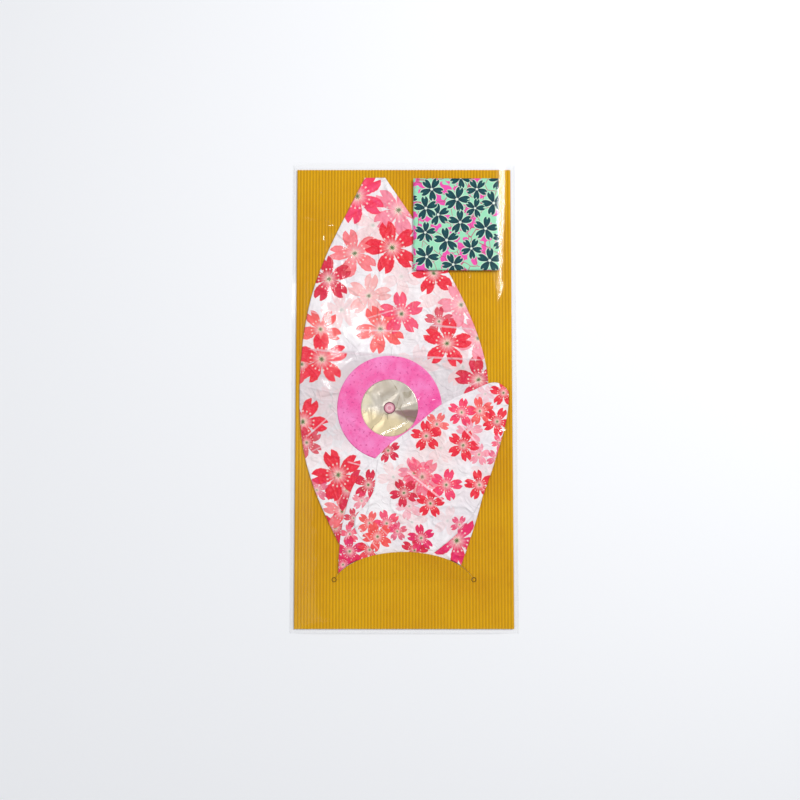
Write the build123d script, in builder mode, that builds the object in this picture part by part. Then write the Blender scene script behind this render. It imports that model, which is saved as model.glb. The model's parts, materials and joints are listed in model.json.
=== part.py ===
"""A paper carp streamer, folded flat on its ribbed backing card in a clear sleeve.

The pack lies on its back: +Y runs from the bottom of the card to the sleeve's open mouth,
+Z is towards the front. X = Y = 0 is the middle of the sleeve and Z = 0 its underside.
"""

from math import asin, cos, radians, sin

import os

from build123d import *

# Backing card: one liner with F-flute ribs running up its front
FLUTE_PITCH = 2.4
FLUTE_COUNT = 69
FLUTE_HEIGHT = 0.75
FLUTE_PAPER = 0.16
LINER = 0.25
GLUE = 0.02
CARD_WIDTH = FLUTE_PITCH * FLUTE_COUNT
CARD_LENGTH = 352.0
CARD_Y = -1.5
CARD_Z = 0.3

# Die-cut tongue that holds the folded fish, hinged along its straight base
SLIT_RADIUS_X = 54.5
SLIT_RADIUS_Y = 28.7
SLIT_CENTRE_Y = -146.5
HINGE_Y = -139.3
STOP_CUT_RADIUS = 1.7
STOP_CUT_X = 52.75
STOP_CUT_WIDTH = 0.4
STOP_CUT_BRIDGE = 0.8
CUT_GAP = 0.15
HINGE_GAP = 0.2
TONGUE_REST = 10.0

# Paper streamer: thicknesses, and the heights of its layers above the table
PAPER = 0.10
FOIL = 0.06
BACK_DISC_Z = 1.42
BACK_PANEL_Z = 1.62
SEAM_Z = 1.73
FRONT_PANEL_Z = 1.84
IRIS_Z = 1.95
TAIL_UNDER_Z = 2.17
TAIL_TOP_Z = 2.33
SEAM_WIDTH = 5.0

# Eye
EYE_X = -11.0
EYE_Y = -9.5
IRIS_RADIUS = 40.0
MIRROR_RADIUS = 21.8
SPOT_RADIUS = 4.5

# Folded leaflet
LEAFLET_WIDTH = 66.0
LEAFLET_LENGTH = 72.0
LEAFLET_X = 40.5
LEAFLET_Y = 132.5
LEAFLET_Z = 3.5
LEAFLET_PAPER = 0.12

# Clear sleeve, open at the top
SLEEVE_WIDTH = 173.0
SLEEVE_LENGTH = 362.0
FILM = 0.1
SEAL = 1.4
SHOULDER = 7.0
SHOULDER_Z = 2.0
BASE_SHOULDER = 4.0
FILM_HEIGHT = 6.4
LIP_STEP = 3.0

os.makedirs("parts", exist_ok=True)


def card_plane(z):
    """The card's own plane, with its origin at the card's centre, at height z."""
    return Plane(origin=(0, CARD_Y, z))


def finish(part, name):
    part.label = name
    export_step(part, f"parts/{name}.step")


# ---------------------------------------------------------------- backing card


def slit_outline(shrink):
    """The arched cut, closed along the hinge line, in the card's plane."""
    rx, ry = SLIT_RADIUS_X - shrink, SLIT_RADIUS_Y - shrink
    base = HINGE_Y + (HINGE_GAP if shrink else 0)
    half = rx * (1 - ((base - SLIT_CENTRE_Y) / ry) ** 2) ** 0.5
    with BuildSketch(Plane.XY) as outline:
        with Locations((0, SLIT_CENTRE_Y)):
            Ellipse(rx, ry)
        with Locations((0, base)):
            Rectangle(2 * half, 2 * ry, align=(Align.CENTER, Align.MIN), mode=Mode.INTERSECT)
    return outline.sketch


def stop_cuts():
    """A ring pressed through the ribs at each end of the arch, interrupted by one bridge."""
    with BuildSketch(Plane.XY) as cuts:
        with Locations((-STOP_CUT_X, HINGE_Y), (STOP_CUT_X, HINGE_Y)):
            Circle(STOP_CUT_RADIUS)
            Circle(STOP_CUT_RADIUS - STOP_CUT_WIDTH, mode=Mode.SUBTRACT)
            Rectangle(
                STOP_CUT_BRIDGE,
                STOP_CUT_RADIUS,
                align=(Align.CENTER, Align.MAX),
                mode=Mode.SUBTRACT,
            )
    return cuts.sketch


def flute_point(rib_centre, sign, offset, side):
    """A point on one half wave: side -1 is its start, 0 its crest and 1 its end."""
    half = FLUTE_PITCH / 4
    rise = (FLUTE_HEIGHT - FLUTE_PAPER) / 2
    radius = (half**2 + rise**2) / (2 * rise)
    angle = side * asin(half / radius)
    reach = radius + sign * offset
    return (rib_centre + reach * sin(angle), sign * (rise - radius + reach * cos(angle)))


def flute_sketch(plane):
    """The corrugated paper's section: two rows of tangent arcs, one paper apart."""
    with BuildSketch(plane) as section:
        with BuildLine():
            for offset in (FLUTE_PAPER / 2, -FLUTE_PAPER / 2):
                for wave in range(2 * FLUTE_COUNT):
                    centre = (wave + 0.5) * FLUTE_PITCH / 2 - CARD_WIDTH / 2
                    sign = 1 if wave % 2 == 0 else -1
                    ThreePointArc(*(flute_point(centre, sign, offset, s) for s in (-1, 0, 1)))
            last = 2 * FLUTE_COUNT - 1
            for wave, sign, side in ((0, 1, -1), (last, -1, 1)):
                centre = (wave + 0.5) * FLUTE_PITCH / 2 - CARD_WIDTH / 2
                Line(
                    flute_point(centre, sign, FLUTE_PAPER / 2, side),
                    flute_point(centre, sign, -FLUTE_PAPER / 2, side),
                )
        make_face()
    return section.sketch


window = slit_outline(0)

with BuildPart() as card_liner:
    with BuildSketch(card_plane(CARD_Z)):
        Rectangle(CARD_WIDTH, CARD_LENGTH)
        add(window, mode=Mode.SUBTRACT)
    extrude(amount=LINER)
finish(card_liner.part, "card_liner")

FLUTE_MIDDLE = CARD_Z + LINER + GLUE + FLUTE_HEIGHT / 2
flute_end = Plane(
    origin=(0, CARD_Y - CARD_LENGTH / 2, FLUTE_MIDDLE), x_dir=(1, 0, 0), z_dir=(0, -1, 0)
)
with BuildPart() as card_flutes:
    add(flute_sketch(flute_end))
    extrude(amount=CARD_LENGTH, dir=(0, 1, 0))
    with BuildSketch(card_plane(CARD_Z)):
        add(stop_cuts())
        add(window)
    extrude(amount=2 * FLUTE_HEIGHT, mode=Mode.SUBTRACT)
finish(card_flutes.part, "card_flutes")

# The tongue is built flat on a plane tilted up about the hinge line
tilt = radians(TONGUE_REST)
HINGE_Z = CARD_Z + LINER
hinge_origin = (0, CARD_Y + HINGE_Y, HINGE_Z)
tongue_plane = Plane(origin=hinge_origin, x_dir=(1, 0, 0), z_dir=(0, -sin(tilt), cos(tilt)))
tongue_outline = Pos(0, -HINGE_Y, 0) * slit_outline(CUT_GAP)

with BuildPart() as tongue_liner:
    with BuildSketch(tongue_plane):
        add(tongue_outline)
    extrude(amount=-LINER)
finish(tongue_liner.part, "tongue_liner")

tongue_flute_plane = Plane(
    origin=tongue_plane.from_local_coords((0, 0, GLUE + FLUTE_HEIGHT / 2)),
    x_dir=(1, 0, 0),
    z_dir=-tongue_plane.y_dir,
)
with BuildPart() as tongue_flutes:
    add(flute_sketch(tongue_flute_plane))
    extrude(amount=SLIT_RADIUS_Y, dir=tongue_plane.y_dir)
    with BuildSketch(tongue_plane):
        add(tongue_outline)
    extrude(amount=2 * FLUTE_HEIGHT, both=True, mode=Mode.INTERSECT)
finish(tongue_flutes.part, "tongue_flutes")

# ---------------------------------------------------------------- streamer body

# Both halves of the streamer turn over along one straight fold behind the tongue
FOLD_Y = -125.0
FOLD_LEFT = -17.0
FOLD_RIGHT = 15.0

# The flattened body from its mouth down both edges to the tongue
LEFT_EDGE = [
    (-30.3, 169.5), (-50, 130), (-70, 80.5), (-78, 37), (-79.8, 3), (-77.5, -35),
    (-69.5, -67), (-60, -90), (-45, -121),
]
RIGHT_EDGE = [
    (53, -100), (62, -66), (66, -35), (65.5, -8), (63, 22), (55, 51), (34, 96),
    (5.5, 140), (-14.5, 169.5),
]
BODY_CORNER = (36, 39.5, 43)
TAIL_CORNER = (-36, -43, -49.5)


def beside_cut(x):
    """The point at x that lies just outside the card's arched cut."""
    across = x / (SLIT_RADIUS_X + CUT_GAP)
    return (x, SLIT_CENTRE_Y + (SLIT_RADIUS_Y + CUT_GAP) * (1 - across**2) ** 0.5)


def body_outline():
    corner = [beside_cut(x) for x in BODY_CORNER]
    with BuildSketch(Plane.XY) as outline:
        with BuildLine():
            Spline(*LEFT_EDGE)
            Polyline(LEFT_EDGE[-1], (FOLD_LEFT, FOLD_Y), (FOLD_RIGHT, FOLD_Y), corner[0])
            ThreePointArc(*corner)
            Spline(corner[-1], *RIGHT_EDGE)
            Line(RIGHT_EDGE[-1], LEFT_EDGE[0])
        make_face()
    return outline.sketch


body = body_outline()

with BuildPart() as body_back_panel:
    with BuildSketch(card_plane(BACK_PANEL_Z)):
        add(body)
    extrude(amount=PAPER)
finish(body_back_panel.part, "body_back_panel")

with BuildPart() as body_front_panel:
    with BuildSketch(card_plane(FRONT_PANEL_Z)):
        add(body)
    extrude(amount=PAPER)
finish(body_front_panel.part, "body_front_panel")


def seam_flap(name, edge, inward):
    """The glued allowance that joins the two panels along one edge."""
    inner_edge = [(x + inward * SEAM_WIDTH, y) for x, y in edge]
    with BuildPart() as flap:
        with BuildSketch(card_plane(SEAM_Z)):
            with BuildLine():
                Spline(*edge)
                Line(edge[-1], inner_edge[-1])
                Spline(*inner_edge)
                Line(inner_edge[0], edge[0])
            make_face()
        extrude(amount=PAPER)
    finish(flap.part, name)


seam_flap("left_seam_flap", LEFT_EDGE, 1)
seam_flap("right_seam_flap", RIGHT_EDGE, -1)

# ---------------------------------------------------------------- eyes, one on each side


def eye_layer(name, z, outer, inner, thick):
    with BuildPart() as layer:
        with BuildSketch(card_plane(z)):
            with Locations((EYE_X, EYE_Y)):
                Circle(outer)
                if inner:
                    Circle(inner, mode=Mode.SUBTRACT)
        extrude(amount=thick)
    finish(layer.part, name)


for side, iris_z, up in (("front", IRIS_Z, 1), ("back", BACK_DISC_Z + PAPER, -1)):
    mirror_z = iris_z + PAPER if up == 1 else iris_z - FOIL
    spot_z = mirror_z + FOIL if up == 1 else mirror_z - FOIL / 2
    eye_layer(f"{side}_iris_ring", iris_z, IRIS_RADIUS, MIRROR_RADIUS - 3, PAPER)
    eye_layer(f"{side}_mirror_disc", mirror_z, MIRROR_RADIUS, 0, FOIL)
    eye_layer(f"{side}_pupil_spot", spot_z, SPOT_RADIUS, 0, FOIL / 2)

# ---------------------------------------------------------------- folded tail

TAIL_NOTCH = (-14, -40)
TAIL_TIP = [TAIL_NOTCH, (-8, -35), (10, -22), (30, -6), (55, 5), (69, 10), (80, 3)]
TAIL_RIGHT = [
    (80, 3), (79.2, -12), (75, -31), (66.5, -58), (57, -82), (46, -98.5), (28, -115),
    (FOLD_RIGHT, FOLD_Y),
]
TAIL_TOP_LEFT = [
    (FOLD_LEFT, FOLD_Y), (-30, -111), (-37, -101), (-37.5, -95), (-31, -85), (-23, -72),
    (-21, -55), TAIL_NOTCH,
]
TAIL_UNDER_LEFT = [(-47, -100), (-43, -82), (-38, -68), (-29, -55.5), TAIL_NOTCH]


def tail_sheet(name, z, has_corner):
    """One layer of the tail, folded up over the body towards the upper right."""
    corner = [beside_cut(x) for x in TAIL_CORNER]
    with BuildPart() as sheet:
        with BuildSketch(card_plane(z)):
            with BuildLine():
                Spline(*TAIL_TIP)
                Spline(*TAIL_RIGHT)
                Line((FOLD_RIGHT, FOLD_Y), (FOLD_LEFT, FOLD_Y))
                if has_corner:
                    Line((FOLD_LEFT, FOLD_Y), corner[0])
                    ThreePointArc(*corner)
                    Spline(corner[-1], *TAIL_UNDER_LEFT)
                else:
                    Spline(*TAIL_TOP_LEFT)
            make_face()
        extrude(amount=PAPER)
    finish(sheet.part, name)


tail_sheet("tail_under_panel", TAIL_UNDER_Z, True)
tail_sheet("tail_top_panel", TAIL_TOP_Z, False)


def fold_strip(name, low, high):
    """The half turn of paper that joins a body panel to a tail panel."""
    outer = (high + PAPER - low) / 2
    plane = Plane(
        origin=(FOLD_LEFT, CARD_Y + FOLD_Y, low + outer), x_dir=(0, 1, 0), z_dir=(1, 0, 0)
    )
    with BuildPart() as strip:
        with BuildSketch(plane):
            Circle(outer)
            Circle(outer - PAPER, mode=Mode.SUBTRACT)
            Rectangle(outer, 2 * outer, align=(Align.MAX, Align.CENTER), mode=Mode.INTERSECT)
        extrude(amount=FOLD_RIGHT - FOLD_LEFT)
    finish(strip.part, name)


fold_strip("inner_fold", FRONT_PANEL_Z, TAIL_UNDER_Z)
fold_strip("outer_fold", BACK_PANEL_Z, TAIL_TOP_Z)

# ---------------------------------------------------------------- leaflet

with BuildPart() as leaflet_back_leaf:
    with BuildSketch(card_plane(LEAFLET_Z)):
        with Locations((LEAFLET_X, LEAFLET_Y)):
            Rectangle(LEAFLET_WIDTH, LEAFLET_LENGTH)
    extrude(amount=LEAFLET_PAPER)
finish(leaflet_back_leaf.part, "leaflet_back_leaf")

FOLD_GAP = 0.1
with BuildPart() as leaflet_front_leaf:
    with BuildSketch(card_plane(LEAFLET_Z + LEAFLET_PAPER + FOLD_GAP)):
        with Locations((LEAFLET_X, LEAFLET_Y)):
            Rectangle(LEAFLET_WIDTH, LEAFLET_LENGTH)
    extrude(amount=LEAFLET_PAPER)
finish(leaflet_front_leaf.part, "leaflet_front_leaf")

with BuildPart() as leaflet_spine:
    with BuildSketch(card_plane(LEAFLET_Z)):
        with Locations((LEAFLET_X - LEAFLET_WIDTH / 2, LEAFLET_Y)):
            Rectangle(LEAFLET_PAPER, LEAFLET_LENGTH, align=(Align.MAX, Align.CENTER))
    extrude(amount=2 * LEAFLET_PAPER + FOLD_GAP)
finish(leaflet_spine.part, "leaflet_spine")

# ---------------------------------------------------------------- clear sleeve

with BuildPart() as sleeve_back_film:
    Box(SLEEVE_WIDTH, SLEEVE_LENGTH, FILM, align=(Align.CENTER, Align.CENTER, Align.MIN))
finish(sleeve_back_film.part, "sleeve_back_film")

FRONT_LENGTH = SLEEVE_LENGTH - LIP_STEP
INNER = SLEEVE_WIDTH / 2 - SEAL
BASE_Y = -SLEEVE_LENGTH / 2
sleeve_end = Plane(origin=(0, BASE_Y, 0), x_dir=(1, 0, 0), z_dir=(0, -1, 0))
with BuildPart() as front_shell:
    with BuildSketch(sleeve_end):
        with BuildLine():
            Polyline(
                (-INNER, FILM),
                (-INNER, SHOULDER_Z),
                (-INNER + SHOULDER, FILM_HEIGHT),
                (INNER - SHOULDER, FILM_HEIGHT),
                (INNER, SHOULDER_Z),
                (INNER, FILM),
                close=True,
            )
        make_face()
    extrude(amount=-FRONT_LENGTH)
    lower_end = front_shell.faces().sort_by(Axis.Y)[0]
    chamfer(lower_end.edges().sort_by(Axis.Z)[-1], length=BASE_SHOULDER)
    underside = front_shell.faces().sort_by(Axis.Z)[0]
    mouth = front_shell.faces().sort_by(Axis.Y)[-1]
    offset(amount=-FILM, openings=[underside, mouth])


def film_piece(name, low, high):
    """The stretch of the front film inside one box, between its folds."""
    size = [h - l for l, h in zip(low, high)]
    with BuildPart() as piece:
        add(front_shell.part)
        with Locations(low):
            Box(*size, align=(Align.MIN, Align.MIN, Align.MIN), mode=Mode.INTERSECT)
    finish(piece.part, name)


FLAT_Z = FILM_HEIGHT - FILM
SIDE_Y = BASE_Y + BASE_SHOULDER
MOUTH_Y = BASE_Y + FRONT_LENGTH
film_piece("sleeve_front_film", (-INNER, BASE_Y, FLAT_Z), (INNER, MOUTH_Y, FILM_HEIGHT))
film_piece("sleeve_left_side", (-INNER, SIDE_Y, FILM), (SHOULDER - INNER, MOUTH_Y, FLAT_Z))
film_piece("sleeve_right_side", (INNER - SHOULDER, SIDE_Y, FILM), (INNER, MOUTH_Y, FLAT_Z))
film_piece("sleeve_base", (-INNER, BASE_Y, FILM), (INNER, SIDE_Y, FLAT_Z))


def side_seal(name, side):
    """The welded edge that joins the front film to the back film."""
    with BuildPart() as seal:
        with BuildSketch(Plane.XY.offset(FILM)):
            with Locations((side * SLEEVE_WIDTH / 2, BASE_Y)):
                corner = (Align.MAX if side > 0 else Align.MIN, Align.MIN)
                Rectangle(SEAL, FRONT_LENGTH, align=corner)
        extrude(amount=FILM)
    finish(seal.part, name)


side_seal("left_side_seal", -1)
side_seal("right_side_seal", 1)
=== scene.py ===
"""The looks of the paper carp streamer on its ribbed card, in its clear sleeve.

Lengths in the tables below are millimetres in the card's own plane: origin at the middle of the
card, +X to the right and +Y up towards the sleeve's mouth. on_card() turns places in the frame of
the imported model, which is in metres, into them.
"""

import json
import math

import bmesh
import bpy
import numpy as np
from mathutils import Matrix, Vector
from mathutils.geometry import delaunay_2d_cdt

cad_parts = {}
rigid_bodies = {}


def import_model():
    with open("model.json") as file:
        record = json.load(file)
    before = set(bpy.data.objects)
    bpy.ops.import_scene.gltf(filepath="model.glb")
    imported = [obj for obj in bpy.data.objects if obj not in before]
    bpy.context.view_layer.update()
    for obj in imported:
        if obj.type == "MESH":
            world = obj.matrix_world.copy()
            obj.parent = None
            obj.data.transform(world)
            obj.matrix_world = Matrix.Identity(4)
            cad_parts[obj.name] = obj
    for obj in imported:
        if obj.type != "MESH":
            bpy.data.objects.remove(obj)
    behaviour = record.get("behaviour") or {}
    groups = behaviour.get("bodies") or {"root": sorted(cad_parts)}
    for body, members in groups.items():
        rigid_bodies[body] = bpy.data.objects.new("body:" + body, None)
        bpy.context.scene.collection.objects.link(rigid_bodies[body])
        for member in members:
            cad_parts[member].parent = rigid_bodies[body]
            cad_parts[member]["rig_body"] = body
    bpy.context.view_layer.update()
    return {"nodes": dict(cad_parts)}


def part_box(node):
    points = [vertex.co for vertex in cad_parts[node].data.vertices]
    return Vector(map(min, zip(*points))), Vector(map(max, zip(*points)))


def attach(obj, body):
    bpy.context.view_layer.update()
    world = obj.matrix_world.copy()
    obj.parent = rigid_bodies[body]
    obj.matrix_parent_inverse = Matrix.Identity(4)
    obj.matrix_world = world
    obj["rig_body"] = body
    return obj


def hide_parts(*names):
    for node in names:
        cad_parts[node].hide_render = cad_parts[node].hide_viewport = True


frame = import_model()
nodes = frame["nodes"]

MM = 0.001
PAPER = 0.1 * MM
CARD_LOW, CARD_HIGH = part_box("card_liner")
CARD_CENTRE = (np.array(CARD_LOW[:2]) + np.array(CARD_HIGH[:2])) / 2
RIBS = 69
RIB_PITCH = (CARD_HIGH[0] - CARD_LOW[0]) / RIBS
RIB_PHASE = math.pi / 2 - 2 * math.pi * CARD_HIGH[0] / RIB_PITCH


def top_of(node):
    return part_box(node)[1][2]


def on_card(points):
    """Card millimetres, as an array of x, y rows, from points in metres."""
    return (np.asarray(points)[:, :2] - CARD_CENTRE) / MM


# ------------------------------------------------------------------ node tree formulas


class Wire:
    """A value in a node tree, so that a material's formulas read as formulas."""

    def __init__(self, tree, socket):
        self.tree = tree
        self.socket = socket

    def math(self, operation, *others):
        node = self.tree.nodes.new("ShaderNodeMath")
        node.operation = operation
        self.tree.links.new(self.socket, node.inputs[0])
        for place, other in enumerate(others, 1):
            if isinstance(other, Wire):
                self.tree.links.new(other.socket, node.inputs[place])
            else:
                node.inputs[place].default_value = other
        return Wire(self.tree, node.outputs[0])

    def __add__(self, other):
        return self.math("ADD", other)

    def __sub__(self, other):
        return self.math("SUBTRACT", other)

    def __mul__(self, other):
        return self.math("MULTIPLY", other)

    def __truediv__(self, other):
        return self.math("DIVIDE", other)

    def step(self, low, high):
        """0 below low, 1 above high and smooth between; high may be the lower one."""
        node = self.tree.nodes.new("ShaderNodeMapRange")
        node.interpolation_type = "SMOOTHSTEP"
        self.tree.links.new(self.socket, node.inputs["Value"])
        node.inputs["From Min"].default_value = low
        node.inputs["From Max"].default_value = high
        return Wire(self.tree, node.outputs["Result"])


class Paint:
    """One node tree under construction: a material's or a group's."""

    def __init__(self, tree):
        self.tree = tree

    def node(self, kind, inputs=None, **settings):
        made = self.tree.nodes.new(kind)
        for key, value in settings.items():
            setattr(made, key, value)
        for key, value in (inputs or {}).items():
            self.plug(made.inputs[key], value)
        return made

    def plug(self, socket, value):
        if isinstance(value, Wire):
            self.tree.links.new(value.socket, socket)
        else:
            socket.default_value = value

    def wire(self, node, output=0):
        return Wire(self.tree, node.outputs[output])

    def mix(self, factor, first, second):
        node = self.node("ShaderNodeMix", data_type="RGBA")
        self.plug(node.inputs[0], factor)
        self.plug(node.inputs[6], first)
        self.plug(node.inputs[7], second)
        return self.wire(node, 2)

    def place(self):
        return self.wire(self.node("ShaderNodeTexCoord"), "Object")

    def noise(self, scale, detail=4.0, roughness=0.55, stretch=None, distortion=0.0):
        """Noise in object space; scale is in features per metre, stretched by a vector."""
        place = self.place()
        if stretch:
            place = self.wire(self.node("ShaderNodeMapping", {"Vector": place, "Scale": stretch}))
        settings = {
            "Vector": place,
            "Scale": scale,
            "Detail": detail,
            "Roughness": roughness,
            "Distortion": distortion,
        }
        return self.wire(self.node("ShaderNodeTexNoise", settings))

    def cells(self, scale, warp):
        """Distance to the edge of irregular cells, whose edges wander by up to warp metres."""
        place = self.place()
        swirl = self.node("ShaderNodeTexNoise", {"Vector": place, "Scale": scale / 2})
        offset = self.node(
            "ShaderNodeVectorMath",
            {0: self.wire(swirl, "Color"), 1: (warp, warp, 0.0)},
            operation="MULTIPLY",
        )
        place = self.wire(self.node("ShaderNodeVectorMath", {0: place, 1: self.wire(offset)}))
        node = self.node(
            "ShaderNodeTexVoronoi", {"Vector": place, "Scale": scale}, feature="DISTANCE_TO_EDGE"
        )
        return self.wire(node, "Distance")

    def creased(self, scale, width, distortion=0.8):
        """Long wandering crease lines: 1 along them, falling to 0 at a width in noise units."""
        wander = self.noise(scale, 2, 0.5, distortion=distortion)
        return wander.step(0.5 - width, 0.5) * wander.step(0.5 + width, 0.5)

    def bump(self, height, distance, strength=1.0, under=None):
        inputs = {"Height": height, "Distance": distance, "Strength": strength}
        if under:
            inputs["Normal"] = under
        return self.wire(self.node("ShaderNodeBump", inputs))


def new_material(name):
    material = bpy.data.materials.new(name)
    material.use_nodes = True
    material.node_tree.nodes.clear()
    return material, Paint(material.node_tree)


def finish_material(paint, shader):
    output = paint.node("ShaderNodeOutputMaterial")
    paint.tree.links.new(shader.outputs[0], output.inputs["Surface"])


def finish_paper(paint, colour, roughness, normal, more):
    """One principled surface; more holds its further inputs by name."""
    inputs = {"Base Color": colour, "Roughness": roughness, "Normal": normal, **more}
    finish_material(paint, paint.node("ShaderNodeBsdfPrincipled", inputs))


def rgb(red, green, blue):
    """An sRGB colour, 0 to 255, as Blender's linear RGBA."""
    linear = [
        c / 12.92 if c <= 0.04045 else ((c + 0.055) / 1.055) ** 2.4
        for c in (red / 255, green / 255, blue / 255)
    ]
    return (*linear, 1.0)


# ------------------------------------------------------------------ cherry blossom print


def blossom_group():
    """A five-petalled blossom in its own polar frame, where the petals' tips are at radius 1."""
    tree = bpy.data.node_groups.new("blossom", "ShaderNodeTree")
    for name, kind in (("Place", "NodeSocketVector"), ("Petal", "NodeSocketColor")):
        tree.interface.new_socket(name=name, in_out="INPUT", socket_type=kind)
    for name, kind in (
        ("Shape", "NodeSocketFloat"),
        ("Radius", "NodeSocketFloat"),
        ("Stamens", "NodeSocketFloat"),
        ("Star", "NodeSocketFloat"),
        ("Vein", "NodeSocketFloat"),
        ("Strength", "NodeSocketFloat"),
    ):
        tree.interface.new_socket(name=name, in_out="OUTPUT", socket_type=kind)
    paint = Paint(tree)
    given = paint.node("NodeGroupInput")
    parts = paint.node("ShaderNodeSeparateXYZ", {0: paint.wire(given, "Place")})
    u, v, strength = (paint.wire(parts, axis) for axis in "XYZ")
    radius = (u * u + v * v).math("SQRT")
    turn = v.math("ARCTAN2", u) / (2 * math.pi)
    side = ((turn * 5.0 + 10.5).math("FRACT") - 0.5) * (2 * math.pi / 5)
    along = radius * side.math("COSINE")
    across = (radius * side.math("SINE")).math("ABSOLUTE")
    taper = (along.math("POWER", 3.6) * -1.0 + 1.0).math("MAXIMUM", 0.0).math("POWER", 0.7)
    width = along.math("MAXIMUM", 0.0).math("POWER", 0.68) * taper * 0.47
    notch = (across * -2.2 + 0.25).math("MAXIMUM", 0.0)
    tip = along * -1.0 + 1.0 - notch
    shape = (width - across).math("MINIMUM", tip)
    spoke = ((turn * 17.0 + 0.25).math("FRACT") - 0.5).math("ABSOLUTE")
    thread = spoke.step(0.13, 0.05) * radius.step(0.42, 0.36) * radius.step(0.08, 0.16)
    anther_place = (radius - 0.41).math("ABSOLUTE")
    anther = anther_place.step(0.045, 0.02) * spoke.step(0.26, 0.13)
    stamens = (thread * 0.3).math("MAXIMUM", anther)
    point = ((turn * 9.0 + 0.4).math("FRACT") - 0.5).math("ABSOLUTE")
    star = radius + point * 0.16
    vein = ((across * 30.0).math("SINE") * 0.5 + 0.5) * radius.step(0.25, 0.7)
    result = paint.node("NodeGroupOutput")
    for name, value in (
        ("Shape", shape),
        ("Radius", radius),
        ("Stamens", stamens),
        ("Star", star),
        ("Vein", vein),
        ("Strength", strength),
    ):
        tree.links.new(value.socket, result.inputs[name])
    return tree


BLOSSOM = blossom_group()
LAYERS = 4


def read_blossom(paint, layer):
    place = paint.node("ShaderNodeAttribute", attribute_name=f"bloom{layer}")
    tint = paint.node("ShaderNodeAttribute", attribute_name=f"tint{layer}")
    group = paint.node("ShaderNodeGroup", node_tree=BLOSSOM)
    paint.tree.links.new(place.outputs["Vector"], group.inputs["Place"])
    paint.tree.links.new(tint.outputs["Color"], group.inputs["Petal"])
    return paint.wire(tint, "Color"), {
        name: paint.wire(group, name)
        for name in ("Shape", "Radius", "Stamens", "Star", "Vein", "Strength")
    }


def blossom_print(paint, ground):
    """Printed blossoms over the paper's own colour: the lowest layer first."""
    grain = paint.noise(700, 3)
    fringe = (paint.noise(420, 4) - 0.5) * 0.09
    blotch = paint.noise(150, 3)
    colour = ground
    for layer in reversed(range(LAYERS)):
        petal, bloom = read_blossom(paint, layer)
        edge = bloom["Shape"] + fringe
        mask = edge.step(-0.01, 0.03) * bloom["Strength"]
        deep = paint.node(
            "ShaderNodeMix", {0: 1.0, 6: petal, 7: petal}, data_type="RGBA", blend_type="MULTIPLY"
        )
        deep = paint.wire(deep, 2)
        inked = paint.mix(bloom["Vein"] * 0.2 + blotch.step(0.45, 0.65) * 0.38, petal, deep)
        pale = bloom["Radius"].step(0.40, 0.14) * 0.6 + grain.step(0.5, 0.8) * 0.15
        inked = paint.mix(pale, inked, rgb(255, 190, 196))
        inked = paint.mix(edge.step(0.08, 0.0) * 0.6, inked, deep)
        inked = paint.mix(bloom["Stamens"] * 0.8, inked, rgb(255, 226, 216))
        heart = bloom["Star"] + fringe
        inked = paint.mix(heart.step(0.24, 0.12) * 0.6, inked, rgb(244, 236, 206))
        inked = paint.mix(heart.step(0.13, 0.09), inked, rgb(72, 110, 44))
        core = bloom["Radius"].step(0.22, 0.18) * bloom["Strength"]
        colour = paint.mix(mask.math("MAXIMUM", core), colour, inked)
    return colour


# ------------------------------------------------------------------ materials


SHADE_BAND = (-38, 31.3)  # the heights on the card of a band of painted shade, over a second layer pasted there
BAND_SLOPE = 0.063  # the band runs a little downhill to the right


def washi(name, band=None):
    """Thin printed mulberry paper: long fibres, soft crumples and a faint gloss.

    A band, from one height on the card to another, is greyer with painted shade: soft along its
    lower edge and sharp along its upper one.
    """
    material, paint = new_material(name)
    cloudy = paint.noise(26, 5)
    ground = paint.mix(cloudy.step(0.35, 0.7), rgb(255, 251, 252), rgb(240, 232, 237))
    blush = paint.noise(14, 3, distortion=0.6)
    ground = paint.mix(blush.step(0.5, 0.75) * 0.6, ground, rgb(255, 216, 212))
    mottle = paint.noise(110, 6, 0.7, distortion=1.5)
    ground = paint.mix(mottle.step(0.5, 0.75) * 0.5, ground, rgb(222, 208, 212))
    fibres = paint.noise(260, 6, 0.7, stretch=(1.0, 0.18, 1.0), distortion=1.2)
    ground = paint.mix(fibres.step(0.62, 0.78) * 0.35, ground, rgb(255, 252, 253))
    if band:
        parts = paint.node("ShaderNodeSeparateXYZ", {0: paint.place()})
        height = paint.wire(parts, "Y") + paint.wire(parts, "X") * BAND_SLOPE
        low, high = (CARD_CENTRE[1] + edge * MM for edge in band)
        # painted shade: the band is greyed, softly at its lower edge and sharply at its upper one
        band_shade = height.step(low - 0.01, low + 0.008) * height.step(high + 0.0005, high - 0.0005)
        ground = paint.mix(band_shade * 0.55, ground, rgb(206, 194, 198))
    colour = blossom_print(paint, ground)
    colour = paint.mix(fibres.step(0.6, 0.8) * 0.08, colour, rgb(255, 240, 244))
    # painted highlight along the strong creases
    crease_highlight = paint.wire(paint.node("ShaderNodeAttribute", attribute_name="crease_highlight"), "Fac")
    colour = paint.mix(crease_highlight.step(0.3, 0.85) * 0.5, colour, rgb(255, 238, 245))
    dents = paint.noise(48, 4, 0.55, distortion=0.5)
    crumple = paint.creased(30, 0.07) + paint.creased(62, 0.08) * 0.5
    cells = paint.cells(70, warp=0.008).step(0.0, 0.16)
    fine = paint.noise(900, 4)
    normal = paint.bump(crumple * 0.8 + dents * 2.4 + cells * 0.3, 0.0008, 0.8)
    normal = paint.bump(fibres + fine * 0.6, 0.0001, 0.6, under=normal)
    gloss = {"Specular IOR Level": 0.45, "Sheen Weight": 0.15, "Sheen Roughness": 0.5}
    finish_paper(paint, colour, fine * 0.2 + 0.38, normal, gloss)
    return material


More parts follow.
